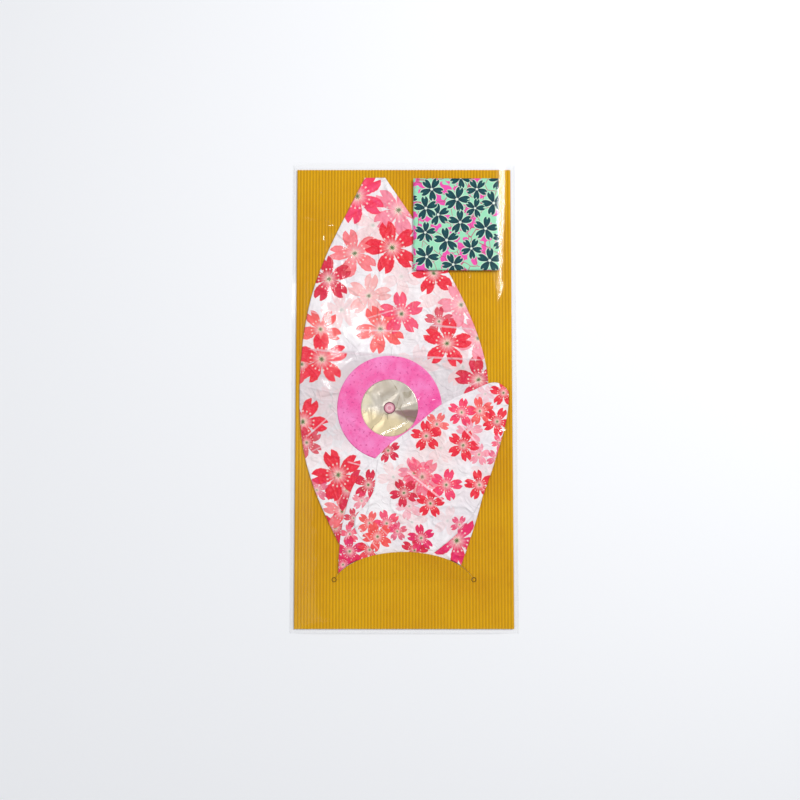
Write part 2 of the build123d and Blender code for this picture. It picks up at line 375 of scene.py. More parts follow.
def pink_paper():
    """Hot-pink handmade paper with darker flecks and pale fibres."""
    material, paint = new_material("pink_paper")
    cloudy = paint.noise(60, 5, 0.6)
    colour = paint.mix(cloudy.step(0.3, 0.75), rgb(255, 138, 204), rgb(250, 72, 160))
    flecks = paint.noise(520, 3, 0.6)
    colour = paint.mix(flecks.step(0.58, 0.68) * 0.75, colour, rgb(214, 44, 134))
    fibres = paint.noise(180, 6, 0.75, stretch=(1.0, 0.25, 1.0), distortion=2.2)
    colour = paint.mix(fibres.step(0.60, 0.74) * 0.5, colour, rgb(255, 176, 220))
    normal = paint.bump(paint.creased(45, 0.06) * 0.4 + paint.noise(60, 3), 0.0006, 0.7)
    normal = paint.bump(fibres + flecks * 0.4, 0.0001, 0.6, under=normal)
    finish_paper(paint, colour, flecks * 0.25 + 0.38, normal, {"Specular IOR Level": 0.45})
    return material


def around(paint, centre, radius):
    """Object coordinates measured from a centre, in radii: across, up and the distance."""
    centred = paint.node(
        "ShaderNodeVectorMath", {0: paint.place(), 1: (*centre, 0.0)}, operation="SUBTRACT"
    )
    scaled = paint.node(
        "ShaderNodeVectorMath",
        {0: paint.wire(centred), 1: (1 / radius, 1 / radius, 0.0)},
        operation="MULTIPLY",
    )
    parts = paint.node("ShaderNodeSeparateXYZ", {0: paint.wire(scaled)})
    across, up = paint.wire(parts, "X"), paint.wire(parts, "Y")
    return across, up, (across * across + up * up).math("SQRT")


def foil(centre, radius):
    """Crinkled foil on paper, pearly grey, with painted reflections: cream low down, yellowish on the
    left and one dark facet beside the spot; painted shade along its crinkles.
    """
    material, paint = new_material("foil")
    across, up, _ = around(paint, centre, radius)
    soft = paint.noise(60, 4, distortion=0.8)
    ragged = (paint.noise(110, 3) - 0.5) * 0.3
    colour = paint.mix(soft.step(0.35, 0.7), rgb(212, 204, 190), rgb(186, 174, 156))
    # painted reflection: cream on the lower part
    low = (up + across * 0.25 + ragged).step(-0.1, -0.5)
    colour = paint.mix(low * 0.85, colour, rgb(236, 216, 168))
    # painted reflection: a yellowish tint on the left
    left = (across + ragged).step(-0.45, -0.8) * (up + ragged).step(-0.1, 0.2)
    colour = paint.mix(left * 0.35, colour, rgb(216, 208, 150))
    # painted reflection: one dark facet beside the spot
    below = (up * -1.0 - 0.03 + ragged * 0.5).step(0.0, 0.08)
    above = (across * 0.62 + up + 0.07 - ragged * 0.4).step(0.0, 0.1)
    dark_facet_reflection = below * above * across.step(0.1, 0.2)
    colour = paint.mix(dark_facet_reflection * 0.85, colour, rgb(142, 104, 104))
    lines = paint.cells(58, warp=0.016)
    # painted shade along the crinkle lines
    crinkle_shade = lines.step(0.035, 0.008) * soft.step(0.42, 0.55)
    colour = paint.mix(crinkle_shade * 0.65, colour, rgb(132, 118, 84))
    normal = paint.bump(lines.step(0.0, 0.3), 0.0005, 0.4)
    normal = paint.bump(paint.noise(260, 3), 0.00005, 0.5, under=normal)
    finish_paper(paint, colour, soft * 0.16 + 0.22, normal, {"Metallic": 0.35})
    return material


def pupil_print(centre, radius):
    """A plain printed spot: pink paper with a dark rim and a pale ring inside."""
    material, paint = new_material("pupil_print")
    _, _, reach = around(paint, centre, radius)
    grain = paint.noise(900, 3)
    colour = paint.mix(grain, rgb(236, 170, 184), rgb(214, 126, 148))
    ring = (reach - 0.45).math("ABSOLUTE").step(0.16, 0.08)
    colour = paint.mix(ring * 0.7, colour, rgb(250, 208, 214))
    colour = paint.mix(reach.step(0.74, 0.88), colour, rgb(120, 50, 74))
    finish_paper(paint, colour, grain * 0.2 + 0.35, paint.bump(grain, 0.00005, 0.5), {})
    return material


STOP_CUTS = ((-52.75, -139.3), (52.75, -139.3))  # the round cuts at the ends of the arch
STOP_CUT_RADIUS = 1.7


def ribbed_card():
    """Mustard-dyed kraft paper: fibres, stains, painted shade in the grooves, and dark rims of the
    cuts, partly their dark cut edges and partly painted shade.
    """
    material, paint = new_material("ribbed_card")
    cloudy = paint.noise(9, 5, 0.6)
    colour = paint.mix(cloudy.step(0.3, 0.75), rgb(230, 178, 0), rgb(214, 154, 0))
    fibres = paint.noise(900, 5, 0.7, stretch=(1.0, 0.15, 1.0), distortion=0.8)
    colour = paint.mix(fibres.step(0.5, 0.8) * 0.35, colour, rgb(236, 192, 16))
    colour = paint.mix(fibres.step(0.45, 0.25) * 0.35, colour, rgb(172, 116, 0))
    across = paint.wire(paint.node("ShaderNodeSeparateXYZ", {0: paint.place()}), "X")
    wave = (across * (2 * math.pi / RIB_PITCH) + RIB_PHASE).math("COSINE")
    # painted shade in the grooves between the ribs
    colour = paint.mix(wave.step(0.3, -0.9) * 0.32, colour, rgb(152, 94, 0))
    specks = paint.noise(2600, 2)
    colour = paint.mix(specks.step(0.68, 0.76) * 0.5, colour, rgb(140, 88, 4))
    # the cuts' rims: darker cut edges, with painted shade in the cut grooves
    for stop in STOP_CUTS:
        *_, reach = around(paint, CARD_CENTRE + np.array(stop) * MM, STOP_CUT_RADIUS * MM)
        cut_edge_and_shade = reach.step(0.68, 0.78) * reach.step(1.2, 1.05)
        colour = paint.mix(cut_edge_and_shade * 0.85, colour, rgb(104, 62, 6))
    normal = paint.bump(fibres + specks * 0.5, 0.00006, 0.6)
    finish_paper(paint, colour, fibres * 0.2 + 0.68, normal, {"Specular IOR Level": 0.12})
    return material


def leaflet_print():
    """Dark-green blossoms with white outlines on mint, with pink patches and thin red lines."""
    material, paint = new_material("leaflet_print")
    patches = paint.noise(150, 1, 0.4)
    colour = paint.mix(patches.step(0.5, 0.53), rgb(160, 232, 192), rgb(246, 84, 178))
    lines = paint.cells(80, warp=0.01)
    colour = paint.mix(lines.step(0.025, 0.01), colour, rgb(196, 92, 124))
    for layer in reversed(range(LAYERS)):
        petal, bloom = read_blossom(paint, layer)
        near = bloom["Radius"].step(1.25, 1.05) * bloom["Strength"]
        outline = bloom["Shape"].step(-0.035, -0.015) * near
        colour = paint.mix(outline, colour, rgb(206, 246, 216))
        middle = bloom["Radius"].step(0.34, 0.26) * near
        colour = paint.mix(middle, colour, rgb(232, 244, 230))
        filled = bloom["Shape"].step(0.02, 0.04) * bloom["Radius"].step(0.09, 0.12) * near
        inked = paint.mix(bloom["Vein"] * 0.3, petal, rgb(0, 116, 112))
        colour = paint.mix(filled, colour, inked)
    grain = paint.noise(1500, 3)
    normal = paint.bump(grain, 0.00003, 0.4)
    finish_paper(paint, colour, grain * 0.15 + 0.34, normal, {"Specular IOR Level": 0.15})
    return material


def clear_film(name, haze, shine):
    """Polypropylene film: see-through, with a faint haze and the share that one face mirrors."""
    material, paint = new_material(name)
    scratches = paint.noise(240, 5, 0.6, stretch=(1.0, 0.2, 1.0))
    normal = paint.bump(paint.noise(34, 3), 0.0006, 0.5)
    gloss = paint.node(
        "ShaderNodeBsdfGlossy", {"Roughness": scratches * 0.06 + 0.06, "Normal": normal}
    )
    dust = paint.node("ShaderNodeBsdfDiffuse", {"Color": rgb(250, 250, 252)})
    clear = paint.node("ShaderNodeBsdfTransparent")
    see_through = paint.node("ShaderNodeMixShader", {0: haze})
    paint.tree.links.new(clear.outputs[0], see_through.inputs[1])
    paint.tree.links.new(dust.outputs[0], see_through.inputs[2])
    slant = paint.wire(paint.node("ShaderNodeLayerWeight", {"Blend": 0.5, "Normal": normal}), "Facing")
    mirror = slant.math("POWER", 5.0) * 0.6 + shine
    body = paint.node("ShaderNodeMixShader", {0: mirror})
    paint.tree.links.new(see_through.outputs[0], body.inputs[1])
    paint.tree.links.new(gloss.outputs[0], body.inputs[2])
    finish_material(paint, body)
    return material


# ------------------------------------------------------------------ where the blossoms are

RED, CRIMSON, ROSE = rgb(246, 0, 54), rgb(230, 0, 66), rgb(254, 58, 112)
CORAL, SALMON, PINK = rgb(255, 84, 82), rgb(255, 124, 132), rgb(255, 140, 166)
MAGENTA, FAINT = rgb(242, 12, 106), rgb(255, 184, 182)

# x, y, petal length, turn in degrees, colour, ink strength; later ones lie over earlier ones
BODY_BLOSSOMS = [
    (-24, 132, 18, 10, FAINT, 0.35), (30, 74, 19, 40, FAINT, 0.35), (10, 22, 18, 80, FAINT, 0.25),
    (45, 22, 17, 20, FAINT, 0.3), (-56, -8, 17, 50, FAINT, 0.16), (-62, -44, 16, 0, FAINT, 0.16),
    (-2, 92, 16, 60, FAINT, 0.3), (-48, 66, 17, 30, FAINT, 0.4), (-40, -30, 15, 35, FAINT, 0.12),
    (-4, 144, 22, 140, PINK, 0.95), (-36, 155, 23, 42, ROSE, 1.0), (-38, 110, 20, 106, SALMON, 0.95),
    (-9, 114.5, 22, 105, RED, 1.0), (-58, 90, 19, 98, CRIMSON, 1.0), (-27, 77, 18, 80, FAINT, 0.85),
    (44, 70, 19, 110, PINK, 0.85), (23, 94.5, 18, 29, RED, 1.0), (57, 44, 18, 200, PINK, 0.85),
    (-18, 51, 20, 188, CORAL, 0.95), (-2, 63, 18, 95, ROSE, 0.95), (27, 57, 12, 90, CRIMSON, 0.9),
    (33, 40, 20, 10, RED, 1.0), (-64, 51, 17, 52, CORAL, 0.95), (-78, 24, 16, 40, RED, 0.95),
    (-63, 28, 21, 20, RED, 1.0), (-77, -20, 20, 64, RED, 1.0), (-74, -36, 13, 110, CRIMSON, 0.9),
    (57, 12, 19, 170, CRIMSON, 1.0), (-52, -100, 14, 75, CRIMSON, 1.0), (-47, -88, 15, 20, SALMON, 0.9),
    (-43, -71, 18, -95, CRIMSON, 1.0), (-50, -60.5, 21, 112, RED, 1.0),
    (40, -110, 20, 58, MAGENTA, 1.0), (-66, -72, 10, 30, MAGENTA, 0.8),
]
TAIL_BLOSSOMS = [
    (62, -58, 12, 30, FAINT, 0.25), (6, -96, 13, 20, FAINT, 0.3), (33, -95, 12, 75, FAINT, 0.25),
    (-8, -62, 13, 45, FAINT, 0.35), (28, -40, 13, 15, FAINT, 0.25), (62, 1, 8, 60, PINK, 0.4),
    (4, -84, 11, 255, PINK, 0.55), (12, -66, 12, 40, SALMON, 0.7), (8, -59, 13, 105, PINK, 0.9),
    (14, -62, 16, 52, ROSE, 0.75), (50, -28, 11, 20, PINK, 0.75), (25, -22, 10, 60, CORAL, 0.9),
    (76, 2, 11, 90, RED, 1.0), (58, -12, 11.5, 100, CORAL, 0.95), (44, -13, 11.5, 80, ROSE, 1.0),
    (71, -20, 12, 60, RED, 1.0), (17, -31, 12.5, 95, RED, 1.0), (57, -45, 9, 10, PINK, 0.85),
    (45, -38, 13, 70, RED, 1.0), (73, -36, 7, 120, ROSE, 0.9), (70, -48, 8, 60, MAGENTA, 0.85),
    (32, -68, 13, 75, ROSE, 1.0), (0, -74, 11.5, 262, CRIMSON, 1.0), (20, -82, 11.5, 300, RED, 1.0),
    (57, -68, 12, 100, RED, 1.0), (-12, -42, 10, 30, CRIMSON, 1.0), (-26, -97, 10, 70, CORAL, 0.95),
    (-13, -97, 11, 110, ROSE, 0.95), (-5, -103, 8, 20, MAGENTA, 0.85), (-20, -107, 12, 40, CORAL, 1.0),
    (8, -117, 11, 80, CRIMSON, 1.0), (13, -108, 11, 100, MAGENTA, 1.0),
    (42, -98, 7.5, 60, MAGENTA, 0.9),
]
UNDER_TAIL_BLOSSOMS = [
    (-27, -68, 12.5, 80, CRIMSON, 1.0), (-38, -93, 8, 30, CRIMSON, 0.95),
    (-41, -105, 8, 100, ROSE, 0.9), (-41, -118, 12.5, 95, MAGENTA, 1.0),
    (-46, -128, 9, 30, MAGENTA, 1.0), (-26, -117, 10, 10, RED, 0.95), (-32, -80, 8, 10, ROSE, 0.7),
]
# x, y, petal length and turn in degrees; all are teal and fully inked
LEAFLET_BLOSSOMS = [
    (44, 169, 9, 60), (74, 167.5, 9, 100), (76, 119.5, 9, 150), (3, 152, 8, 10), (26.5, 140, 9.5, 100),
    (21.5, 160, 9.8, 60), (56.5, 160, 8.8, 50), (41, 152, 10.8, 0), (69.5, 149, 10.2, 110),
    (17, 145, 10, 170), (55, 145, 8.2, 75), (16.5, 126, 8.8, 84), (63, 129, 10, 80),
    (33, 120, 10.5, 100), (43.5, 134, 10, 20), (17.5, 107, 10.2, 70), (52, 113.5, 8.8, 60),
    (66, 104, 10.4, 88), (38, 101, 9.4, 40),
]
TEAL = rgb(0, 62, 72)


def scattered(seed, low, high, count, reach, colours):
    """Blossoms at random places between two corners, for a side that the pack hides."""
    random = np.random.default_rng(seed)
    spots = random.uniform(low, high, (count, 2))
    blossoms = []
    for i, (x, y) in enumerate(spots):
        own_reach, turn = reach * random.uniform(0.85, 1.1), random.uniform(0, 72)
        blossoms.append((x, y, own_reach, turn, colours[i % len(colours)], 1.0))
    return blossoms


def vertex_spots(mesh):
    """Where each vertex is, in card millimetres."""
    points = np.zeros(len(mesh.vertices) * 3)
    mesh.vertices.foreach_get("co", points)
    return on_card(points.reshape(-1, 3))


FAR = 9.0  # a place, in petal lengths, where a blossom leaves no ink


def paint_blossoms(mesh, blossoms):
    """Stores, in each corner of the mesh, its place in the frames of the top few blossoms there."""
    corners = np.zeros(len(mesh.loops), np.int32)
    mesh.loops.foreach_get("vertex_index", corners)
    faces = vertex_spots(mesh)[corners].reshape(-1, 3, 2)
    middles = faces.mean(axis=1)
    size = np.abs(faces - middles[:, None]).max()
    filled = np.zeros(len(middles), np.int32)
    places = np.full((LAYERS, len(middles), 3, 3), FAR)
    places[..., 2] = 0.0
    tints = np.ones((LAYERS, len(middles), 3, 4))
    for x, y, reach, turn, colour, strength in reversed(blossoms):
        near = np.hypot(middles[:, 0] - x, middles[:, 1] - y) < 1.1 * reach + size
        here = np.nonzero(near & (filled < LAYERS))[0]
        c, s = math.cos(math.radians(turn)), math.sin(math.radians(turn))
        dx, dy = faces[here][..., 0] - x, faces[here][..., 1] - y
        turned = [(c * dx + s * dy) / reach, (c * dy - s * dx) / reach]
        places[filled[here], here] = np.stack([*turned, np.full_like(dx, strength)], -1)
        tints[filled[here], here] = colour
        filled[here] += 1
    for layer in range(LAYERS):
        bloom = mesh.attributes.new(f"bloom{layer}", "FLOAT_VECTOR", "CORNER")
        bloom.data.foreach_set("vector", places[layer].ravel())
        tint = mesh.attributes.new(f"tint{layer}", "FLOAT_COLOR", "CORNER")
        tint.data.foreach_set("color", tints[layer].ravel())


HIGHLIGHT_FULL_HEIGHT = 0.3  # a crease as high as this gets the full painted highlight
HIGHLIGHT_WIDTH = 0.75


def paint_crease_highlights(mesh, lines):
    """Stores a painted highlight along the paper's strong creases, where light catches their ridges."""
    table = [
        (x0, y0, x1, y1, height / HIGHLIGHT_FULL_HEIGHT, HIGHLIGHT_WIDTH, ROUND)
        for x0, y0, x1, y1, height, *_ in lines
    ]
    # painted highlight along the strong creases, full strength on the highest
    crease_highlight = mesh.attributes.new("crease_highlight", "FLOAT", "POINT")
    crease_highlight.data.foreach_set("value", np.minimum(creases(vertex_spots(mesh), table), 1))


# ------------------------------------------------------------------ relief of the soft sheets


def smooth(value, low, high):
    t = np.clip((value - low) / (high - low), 0, 1)
    return t * t * (3 - 2 * t)


def swell(points):
    """The slow rise and fall of the folded paper, in millimetres; flat beside the tongue."""
    x, y = points.T
    waves = np.sin(x / 17 + 1.3) * np.sin(y / 23 + 0.4) + 0.6 * np.sin(x / 9 - y / 13 + 2)
    waves += 0.4 * np.sin(x / 31 + y / 11)
    return 0.085 * (waves + 2.0) * smooth(y, -120, -100)


ROUND, TENT = 0, 2


def creases(points, table):
    """Ridges along straight lines: x, y of both ends, height, width and kind.

    Kind 0 is ROUND, 1 or -1 is a lip that rises on that side, and TENT is two flat facets.
    """
    total = np.zeros(len(points))
    for x0, y0, x1, y1, height, width, kind in table:
        start, run = np.array((x0, y0)), np.array((x1 - x0, y1 - y0))
        length = math.hypot(*run)
        offset = points - start
        along = offset @ run / length**2
        away = (offset[:, 1] * run[0] - offset[:, 0] * run[1]) / length
        fade = smooth(along, -0.02, 0.18) * smooth(along, 1.02, 0.82)
        if kind == ROUND:
            ridge = np.exp(-((away / width) ** 2))
        elif kind == TENT:
            ridge = np.maximum(0, 1 - np.abs(away) / width)
        else:
            side = away * kind
            ridge = smooth(side, -0.35, 0.25) * np.exp(-np.maximum(side, 0) / (4 * width))
        total += height * fade * ridge
    return total


def random_creases(seed, low, high, count, lengths, heights, widths):
    """Rows for creases(): round ridges anywhere between two corners, each way round."""
    random = np.random.default_rng(seed)
    table = []
    for x, y in random.uniform(low, high, (count, 2)):
        turn, length = random.uniform(0, math.pi), random.uniform(*lengths)
        dx, dy = length * math.cos(turn), length * math.sin(turn)
        height, width = random.uniform(*heights), random.uniform(*widths)
        table.append((x, y, x + dx, y + dy, height, width, ROUND))
    return table


# The folds that stand out, as rows for creases()
BODY_LINES = [
    (-77, 36, -14, 30, 0.45, 1.3, 1), (-38, 32, 66, 27, 0.45, 1.4, 1), (12, 55, 58, 50.5, 0.38, 1.0, 1),
    (-42, 50.5, 2, 49.5, 0.3, 1.1, 1), (-36, 57, 2, 69, 0.25, 1.1, 0),
    (-77, -34, -50, -10, 0.3, 1.3, 0), (-78, 8, -47, 1, 0.25, 1.1, 0), (-70, -2, -50, -4, 0.2, 0.9, 0),
    (-73, -44, -52, -34, 0.25, 1.2, 0), (-45, -50, -22, -56, 0.3, 1.3, 0),
    (12, 17, 40, 22, 0.22, 1.2, 0), (14, -8, 33, 3, 0.3, 1.6, 0), (34, 0, 62, 13, 0.25, 1.4, 0),
    (-44, -17, -20, -33, 0.3, 1.2, 0), (-20, -33, -4, -33, 0.22, 1.0, 0), (10, 92, 6, 64, 0.18, 1.2, 0),
    (-20, 95, -12, 70, 0.18, 1.1, 0), (-75, 66, -58, 60, 0.25, 1.2, 0), (-24, 96, 8, 78, 0.16, 1.4, 0),
    (-34, 144, -20, 124, 0.15, 1.2, 0), (2, 58, 14, 34, 0.16, 1.2, 0), (0, 160, -16, 134, 0.12, 1.2, 0),
]
TAIL_UNDER_LINES = [
    (-34, -94, -47, -112, 0.18, 0.9, 0), (-46, -126, -42, -100, 0.15, 0.9, 0),
]
TAIL_LINES = [
    (40, -19, 60, -41, 0.36, 1.3, -1), (0, -56, 34, -83, 0.38, 1.4, -1),
    (-22, -96, -6, -112, 0.25, 1.1, -1), (-37, -97, -17, -119, 0.25, 0.9, 0),
    (24, -117, 57, -86, 0.25, 1.1, 0), (-30, -84, -12, -76, 0.18, 1.2, 0),
    (56, -62, 62, -76, 0.2, 0.9, 0), (34, -12, 60, -20, 0.16, 1.0, 0), (4, -92, 40, -90, 0.12, 1.5, 0),
]
# The lower left and upper right corners of the body and of the tail
PANEL = ((-82, -130), (82, 172))
TAIL = ((-50, -130), (82, 12))
BODY_CREASES = BODY_LINES + random_creases(3, *PANEL, 150, (10, 34), (0.05, 0.2), (0.6, 1.5))
TAIL_UNDER_CREASES = TAIL_UNDER_LINES + random_creases(
    5, *TAIL, 50, (8, 26), (0.02, 0.08), (0.6, 1.3)
)
TAIL_CREASES = TAIL_LINES + random_creases(8, *TAIL, 90, (8, 30), (0.04, 0.15), (0.6, 1.4))
BODY_CAP, BODY_GAIN = 0.6, 1.6  # crossing creases add up to the cap at most, before the gain
TAIL_UNDER_CAP = 0.2
TAIL_CAP, TAIL_GAIN = 0.5, 1.5
PRESSED = 0.75  # the share of the body's creases that the tail flattens


def body_relief(points):
    """Height of the front panel over its flat CAD sheet; pressed flatter under the tail."""
    x, y = points.T
    under_tail = smooth(x * 0.55 - y, -8, 8) * smooth(x - y * 0.3, -30, -14)
    ridges = np.minimum(creases(points, BODY_CREASES), BODY_CAP)
    ridges = ridges * (1 - PRESSED * under_tail) * BODY_GAIN
    return swell(points) + ridges * smooth(y, -120, -104)


def beside_tongue(points):
    """0 where the tongue presses the tail flat and 1 above it."""
    return smooth(points[:, 1], -119, -108)


def tail_under_relief(points):
    """The tail's lower sheet follows the body and adds faint creases of its own."""
    ridges = np.minimum(creases(points, TAIL_UNDER_CREASES), TAIL_UNDER_CAP)
    return body_relief(points) + ridges * beside_tongue(points)


def tail_relief(points):
    """The tail's top sheet follows the lower one and adds stronger creases."""
    ridges = np.minimum(creases(points, TAIL_CREASES), TAIL_CAP)
    return tail_under_relief(points) + TAIL_GAIN * ridges * beside_tongue(points)


# ------------------------------------------------------------------ sheets from CAD outlines


def outline_of(node):
    """The outer edge of a flat CAD sheet's top face, in order, in card millimetres."""
    mesh = bmesh.new()
    mesh.from_mesh(nodes[node].data)
    bmesh.ops.remove_doubles(mesh, verts=mesh.verts, dist=1e-6)
    high = top_of(node) - 0.02 * MM
    top = {f for f in mesh.faces if all(v.co.z > high for v in f.verts)}
    rim = {}
    for edge in mesh.edges:
        if sum(f in top for f in edge.link_faces) == 1:
            for here, there in (edge.verts, reversed(edge.verts)):
                rim.setdefault(here, []).append(there)
    here = next(iter(rim))
    before, loop = None, []
    while not loop or here is not loop[0]:
        loop.append(here)
        before, here = here, next(v for v in rim[here] if v is not before)
    points = on_card([v.co[:] for v in loop])
    mesh.free()
    return points


def divided(loop, spacing):
    """The same closed outline with no step longer than spacing."""
    steps = []
    for here, there in zip(loop, np.roll(loop, -1, axis=0)):
        count = max(1, math.ceil(math.hypot(*(there - here)) / spacing))
        steps += [here + (there - here) * i / count for i in range(count)]
    return np.array(steps)


def inside(points, loop, margin):
    """True for each point inside the outline and at least margin from it."""
    within = np.zeros(len(points), bool)
    nearest = np.full(len(points), np.inf)
    x, y = points.T
    for (x0, y0), (x1, y1) in zip(loop, np.roll(loop, -1, axis=0)):
        if y0 != y1:
            within ^= ((y0 > y) != (y1 > y)) & (x < (x1 - x0) * (y - y0) / (y1 - y0) + x0)
        nearest = np.minimum(nearest, np.hypot(x - x0, y - y0))
    return within & (nearest > margin)


ROW_STEP = 0.87  # all three are shares of the spacing
SHAKE = 0.12
RIM_GAP = 0.6


def fill_outline(loop, spacing, seed):
    """Points and triangles that fill an outline with a shaken triangular grid."""
    rim = divided(loop, spacing)
    random = np.random.default_rng(seed)
    low, high = rim.min(axis=0), rim.max(axis=0)
    rows = np.arange(low[1], high[1], spacing * ROW_STEP)
    grid = [
        (x + (row % 2) * spacing / 2, y)
        for row, y in enumerate(rows)
        for x in np.arange(low[0], high[0], spacing)
    ]
    grid = np.array(grid) + random.uniform(-SHAKE, SHAKE, (len(grid), 2)) * spacing
    grid = grid[inside(grid, rim, RIM_GAP * spacing)]
    points = [Vector(p) for p in np.vstack([rim, grid])]
    edges = [(i, (i + 1) % len(rim)) for i in range(len(rim))]
    spots, _, faces, *_ = delaunay_2d_cdt(points, edges, [], 1, 1e-5)
    return np.array([s[:] for s in spots]), faces


def fill_ring(centre, inner, outer, spacing):
    """Points and triangles of a flat ring, or of a disc when inner is 0."""
    rounds = max(2, round((outer - inner) / spacing))
    turns = round(2 * math.pi * outer / spacing)
    angle = np.linspace(0, 2 * math.pi, turns, endpoint=False)
    start = 1 if inner == 0 else 0
    points = [np.array([centre])] if inner == 0 else []
    for i in range(start, rounds + 1):
        radius = inner + (outer - inner) * i / rounds
        circle = [centre[0] + radius * np.cos(angle), centre[1] + radius * np.sin(angle)]
        points.append(np.stack(circle, 1))
    faces = []
    if inner == 0:
        faces += [(0, 1 + j, 1 + (j + 1) % turns) for j in range(turns)]
    for i in range(rounds - start):
        for j in range(turns):
            a, b = start + i * turns + j, start + i * turns + (j + 1) % turns
            faces += [(a, a + turns, b + turns), (a, b + turns, b)]
    return np.vstack(points), faces


def make_piece(name, points, faces, heights, body, material, thick=PAPER):
    """A sheet of paper from card millimetres and its top's heights in metres."""
    spots = points * MM + CARD_CENTRE
    mesh = bpy.data.meshes.new(name)
    mesh.from_pydata(np.column_stack([spots, heights]).tolist(), [], [tuple(f) for f in faces])
    mesh.materials.append(material)
    mesh.polygons.foreach_set("use_smooth", [True] * len(mesh.polygons))
    mesh.update()
    piece = bpy.data.objects.new(name, mesh)
    bpy.context.scene.collection.objects.link(piece)
    if thick:
        solid = piece.modifiers.new("thickness", "SOLIDIFY")
        solid.thickness = thick
        solid.offset = -1.0
    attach(piece, body)
    return piece


def flat_area(points, faces):
    """The area in square metres of triangles in card millimetres."""
    triangles = points[np.array(faces)]
    first, second = triangles[:, 1] - triangles[:, 0], triangles[:, 2] - triangles[:, 0]
    return abs(first[:, 0] * second[:, 1] - first[:, 1] * second[:, 0]).sum() / 2 * MM * MM


def paper_sheet(
    node, name, relief, material, blossoms, spacing, lines=(), flat=None
):
    """A soft sheet in place of a flat CAD one, with its outline, its print and its creases."""
    points, faces = fill_outline(outline_of(node), spacing, seed=len(name))
    heights = top_of(node) + relief(points) * MM
    piece = make_piece(name, points, faces, heights, nodes[node]["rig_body"], material)
    paint_blossoms(piece.data, blossoms)
    paint_crease_highlights(piece.data, lines)
    low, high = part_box(node)
    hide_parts(node)
    flat = flat or (high[0] - low[0], high[1] - low[1])
    flat_area(points, faces)


# ------------------------------------------------------------------ the streamer

WASHI = washi("printed_washi")
SHADE_BANDED_WASHI = washi("shade_banded_washi", SHADE_BAND)
HIDDEN = [CRIMSON, RED, ROSE, CORAL, PINK]  # the blossoms on the side that the pack hides
DETAIL = 0.85  # the spacing of a sheet's mesh in millimetres

paper_sheet(
    "body_back_panel", "back_side_paper", swell, WASHI,
    scattered(11, *PANEL, 42, 19, HIDDEN), 2 * DETAIL,
)
SEAM_STRIP = (0.010, 0.310)  # the widest a strip is pasted, and its length along the edge
for side in ("left", "right"):
    paper_sheet(
        f"{side}_seam_flap", f"{side}_seam_paper", swell, WASHI, [], 2 * DETAIL,
        flat=SEAM_STRIP,
    )
paper_sheet(
    "body_front_panel", "front_side_paper", body_relief, SHADE_BANDED_WASHI, BODY_BLOSSOMS, DETAIL,
    BODY_LINES,
)
paper_sheet(
    "tail_under_panel", "tail_under_paper", tail_under_relief, WASHI, UNDER_TAIL_BLOSSOMS, DETAIL,
    TAIL_UNDER_LINES,
)
paper_sheet(
    "tail_top_panel", "tail_top_paper", tail_relief, WASHI, TAIL_BLOSSOMS, DETAIL,
    TAIL_LINES,
)



def round_part(node):
    """The centre of a round part in metres, and its radius in millimetres."""
    low, high = (np.array(corner[:2]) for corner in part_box(node))
    return (low + high) / 2, (high[0] - low[0]) / 2 / MM


IRIS, IRIS_RADIUS = round_part("front_iris_ring")
IRIS_CENTRE = on_card([IRIS])[0]
_, DISC_RADIUS = round_part("front_mirror_disc")
EYE, SPOT_RADIUS = round_part("front_pupil_spot")
EYE_LAP = 3.0  # how far the iris runs in under the disc
SMALLEST_SHEET = 10 * MM  # the area of anything smaller isn't worked out
PINK_PAPER = pink_paper()
FOIL = foil(EYE, DISC_RADIUS * MM)
PUPIL = pupil_print(EYE, SPOT_RADIUS * MM)


def eye_layer(node, name, inner, outer, material, spacing):
    """A ring or disc of the eye, laid over the relief of the body."""
    points, faces = fill_ring(IRIS_CENTRE, inner, outer, spacing)
    heights = top_of(node) + body_relief(points) * MM
    low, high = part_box(node)
    thick = high[2] - low[2]
    piece = make_piece(name, points, faces, heights, "streamer", material, thick)
    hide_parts(node)
    side = 2 * outer * MM
    if side >= SMALLEST_SHEET:
        flat_area(points, faces)


eye_layer(
    "front_iris_ring", "iris_paper", DISC_RADIUS - EYE_LAP, IRIS_RADIUS, PINK_PAPER, 0.9,
)
eye_layer("front_mirror_disc", "foil_disc", 0, DISC_RADIUS, FOIL, 0.7)
eye_layer("front_pupil_spot", "pupil_paper", 0, SPOT_RADIUS, PUPIL, 0.5)

# ------------------------------------------------------------------ card, leaflet and flat films

CARD = ribbed_card()
FILM = clear_film("clear_film", 0.002, 0.026)
FLAT_FILM = clear_film("flat_film", 0.002, 0.005)
SEAL_FILM = clear_film("sealed_film", 0.02, 0.005)
LEAFLET = leaflet_print()
FLAT_MATERIALS = {
    CARD: ("card_liner", "card_flutes", "tongue_liner", "tongue_flutes"),
    WASHI: ("inner_fold", "outer_fold"),
    PINK_PAPER: ("back_iris_ring",),
    FOIL: ("back_mirror_disc",),
    PUPIL: ("back_pupil_spot",),
    FLAT_FILM: ("sleeve_back_film",),
    SEAL_FILM: ("left_side_seal", "right_side_seal"),
    LEAFLET: ("leaflet_back_leaf", "leaflet_spine"),
}
for material, names in FLAT_MATERIALS.items():
    for name in names:
        nodes[name].data.materials.clear()
        nodes[name].data.materials.append(material)


def leaflet_relief(points):
    """The leaflet's front leaf springs up a little along its free edges."""
    x, y = points.T
    return 0.25 * smooth(x, 40, 76) ** 2 + 0.1 * smooth(y, 120, 96) + 0.02 * np.sin(x / 9 + y / 14)


paper_sheet(
    "leaflet_front_leaf", "leaflet_cover", leaflet_relief, LEAFLET,
    [(x, y, reach, turn, TEAL, 1.0) for x, y, reach, turn in LEAFLET_BLOSSOMS], 2.0,
)

FOLD_INSET = 2.0 * MM
FOLD_REACH = 0.8 * MM
FOLD_DROP = 0.03 * MM
FOLD_THICK = 0.06 * MM


